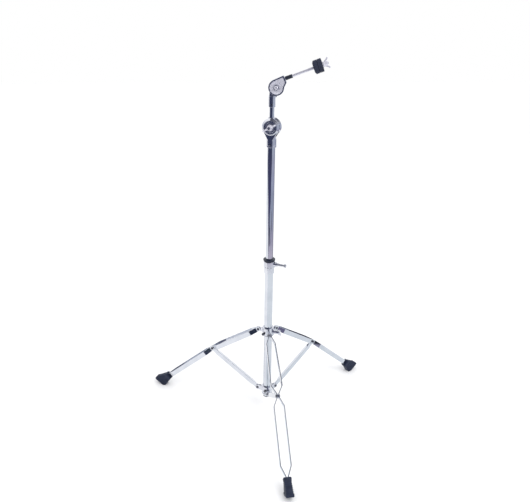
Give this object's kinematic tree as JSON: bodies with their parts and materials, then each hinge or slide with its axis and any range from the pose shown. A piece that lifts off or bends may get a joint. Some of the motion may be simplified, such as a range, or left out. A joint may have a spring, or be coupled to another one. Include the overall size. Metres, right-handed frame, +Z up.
{
  "type": "cymbal boom stand",
  "caption": "Folding chrome tripod stand with a sliding tube, a boom tilter, a tilting cymbal rod with felts and wing nuts, and rubber feet.",
  "frame": {"origin": "centre of the stand's bounding box, on the floor", "axes": "+Z up along the tube; the front leg points along -Y and the other two legs stand 120 degrees either side of it"},
  "size_m": [0.7318, 0.6345, 1.1204],
  "materials": {
    "chrome": "mirror-polished plating on tube and strip",
    "cast_chrome": "polished plating on die castings, slightly soft reflections",
    "zinc": "plated steel fasteners, satin",
    "black_plastic": "moulded nylon, satin blue-black",
    "rubber": "matt moulded rubber, blue-black",
    "felt": "dense pressed wool felt, blue-black"
  },
  "bodies": {
    "root": {"base_tube": "chrome", "base_tube_plug": "black_plastic", "lower_collar": "cast_chrome", "lower_collar_screw": "zinc", "strut_rivet_front": "zinc", "strut_rivet_right": "zinc", "strut_rivet_left": "zinc", "height_clamp": "cast_chrome", "height_bushing": "black_plastic"},
    "strut_front": {"strut_front": "chrome"},
    "strut_right": {"strut_right": "chrome"},
    "strut_left": {"strut_left": "chrome"},
    "leg_front": {"leg_strip_front_a": "chrome", "leg_strip_front_b": "chrome", "foot_front": "rubber", "collar_rivet_front": "zinc", "knee_rivet_front": "zinc"},
    "leg_right": {"leg_strip_right_a": "chrome", "leg_strip_right_b": "chrome", "foot_right": "rubber", "collar_rivet_right": "zinc", "knee_rivet_right": "zinc"},
    "leg_left": {"leg_strip_left_a": "chrome", "leg_strip_left_b": "chrome", "foot_left": "rubber", "collar_rivet_left": "zinc", "knee_rivet_left": "zinc"},
    "leg_collar": {"leg_collar": "cast_chrome", "collar_screw": "zinc"},
    "collar_bolt": {"collar_wing_bolt": "cast_chrome"},
    "clamp_bolt": {"clamp_hand_bolt": "chrome"},
    "tube_guide": {"tube_guide": "black_plastic"},
    "mast": {"middle_tube": "chrome", "boom_fork": "cast_chrome", "fork_screw": "zinc", "boom_bolt": "zinc", "boom_washer": "zinc"},
    "boom_nut": {"boom_wing_nut": "cast_chrome"},
    "boom_rotor": {"boom_rotor": "cast_chrome"},
    "boom_arm": {"boom_arm": "chrome", "tilter_socket": "cast_chrome", "socket_screw": "zinc", "tilter_bolt": "zinc"},
    "tilter_nut": {"tilter_wing_nut": "cast_chrome"},
    "cymbal_head": {"tilter_head": "cast_chrome", "cymbal_rod": "chrome", "rod_sleeve": "black_plastic", "seat_washer": "zinc", "cymbal_sleeve": "black_plastic", "lower_felt": "felt", "upper_felt": "felt"},
    "cymbal_nut": {"cymbal_wing_nut": "cast_chrome"}
  },
  "joints": [
    {"name": "leg_fold", "type": "hinge", "parent": "root", "child": "strut_front", "pos_m": [0, 0.06713, 0.0802], "axis": [-1, 0, 0], "range_deg": [0, 50]},
    {"name": "front_knee", "type": "hinge", "parent": "strut_front", "child": "leg_front", "pos_m": [0, -0.09587, 0.188], "axis": [-1, 0, 0], "range_deg": [-100, 0]},
    {"name": "front_leg_top", "type": "hinge", "parent": "leg_front", "child": "leg_collar", "pos_m": [0, 0.06713, 0.2958], "axis": [-1, 0, 0], "range_deg": [0, 50]},
    {"name": "right_leg_top", "type": "hinge", "parent": "leg_collar", "child": "leg_right", "pos_m": [0.02771, 0.11513, 0.2958], "axis": [0.5, -0.866, 0], "range_deg": [-50, 0]},
    {"name": "right_strut_foot", "type": "hinge", "parent": "root", "child": "strut_right", "pos_m": [0.02771, 0.11513, 0.0802], "axis": [0.5, -0.866, 0], "range_deg": [0, 50]},
    {"name": "left_leg_top", "type": "hinge", "parent": "leg_collar", "child": "leg_left", "pos_m": [-0.02771, 0.11513, 0.2958], "axis": [0.5, 0.866, 0], "range_deg": [-50, 0]},
    {"name": "left_strut_foot", "type": "hinge", "parent": "root", "child": "strut_left", "pos_m": [-0.02771, 0.11513, 0.0802], "axis": [0.5, 0.866, 0], "range_deg": [0, 50]},
    {"name": "collar_bolt_turn", "type": "hinge", "parent": "leg_collar", "child": "collar_bolt", "pos_m": [0, 0.09913, 0.2958], "axis": [0.8829, -0.4695, 0], "range_deg": [0, 360]},
    {"name": "clamp_bolt_turn", "type": "hinge", "parent": "root", "child": "clamp_bolt", "pos_m": [0, 0.09913, 0.5255], "axis": [0.8572, -0.515, 0], "range_deg": [0, 360]},
    {"name": "height_slide", "type": "slide", "parent": "root", "child": "tube_guide", "axis": [0, 0, 1], "range_m": [-0.32, 0.08]},
    {"name": "mast_swivel", "type": "hinge", "parent": "tube_guide", "child": "mast", "pos_m": [0, 0.09913, 0.41], "axis": [0, 0, 1], "range_deg": [-180, 180]},
    {"name": "boom_nut_turn", "type": "hinge", "parent": "mast", "child": "boom_nut", "pos_m": [0, 0.09913, 0.9327], "axis": [-0.454, -0.891, 0], "range_deg": [0, 360]},
    {"name": "boom_tilt", "type": "hinge", "parent": "mast", "child": "boom_rotor", "pos_m": [0, 0.09913, 0.9327], "axis": [-0.454, -0.891, 0], "range_deg": [-90, 90]},
    {"name": "arm_swivel", "type": "hinge", "parent": "boom_rotor", "child": "boom_arm", "pos_m": [0, 0.09913, 1.0392], "axis": [0, 0, 1], "range_deg": [-180, 180]},
    {"name": "tilter_nut_turn", "type": "hinge", "parent": "boom_arm", "child": "tilter_nut", "pos_m": [0.01111, 0.09615, 1.0392], "axis": [0.2588, 0.9659, 0], "range_deg": [0, 360]},
    {"name": "cymbal_tilt", "type": "hinge", "parent": "boom_arm", "child": "cymbal_head", "pos_m": [0.01111, 0.09615, 1.0392], "axis": [-0.2588, -0.9659, 0], "range_deg": [-43, 72]},
    {"name": "cymbal_nut_turn", "type": "hinge", "parent": "cymbal_head", "child": "cymbal_nut", "pos_m": [0.12537, 0.0585, 1.10084], "axis": [0.8999, -0.2411, 0.3633], "range_deg": [0, 360]}
  ],
  "couplings": [
    {"joint": "front_knee", "follows": "leg_fold", "ratio": -2},
    {"joint": "front_leg_top", "follows": "leg_fold", "ratio": 1},
    {"joint": "right_leg_top", "follows": "leg_fold", "ratio": -1},
    {"joint": "right_strut_foot", "follows": "leg_fold", "ratio": 1},
    {"joint": "left_leg_top", "follows": "leg_fold", "ratio": -1},
    {"joint": "left_strut_foot", "follows": "leg_fold", "ratio": 1}
  ]
}
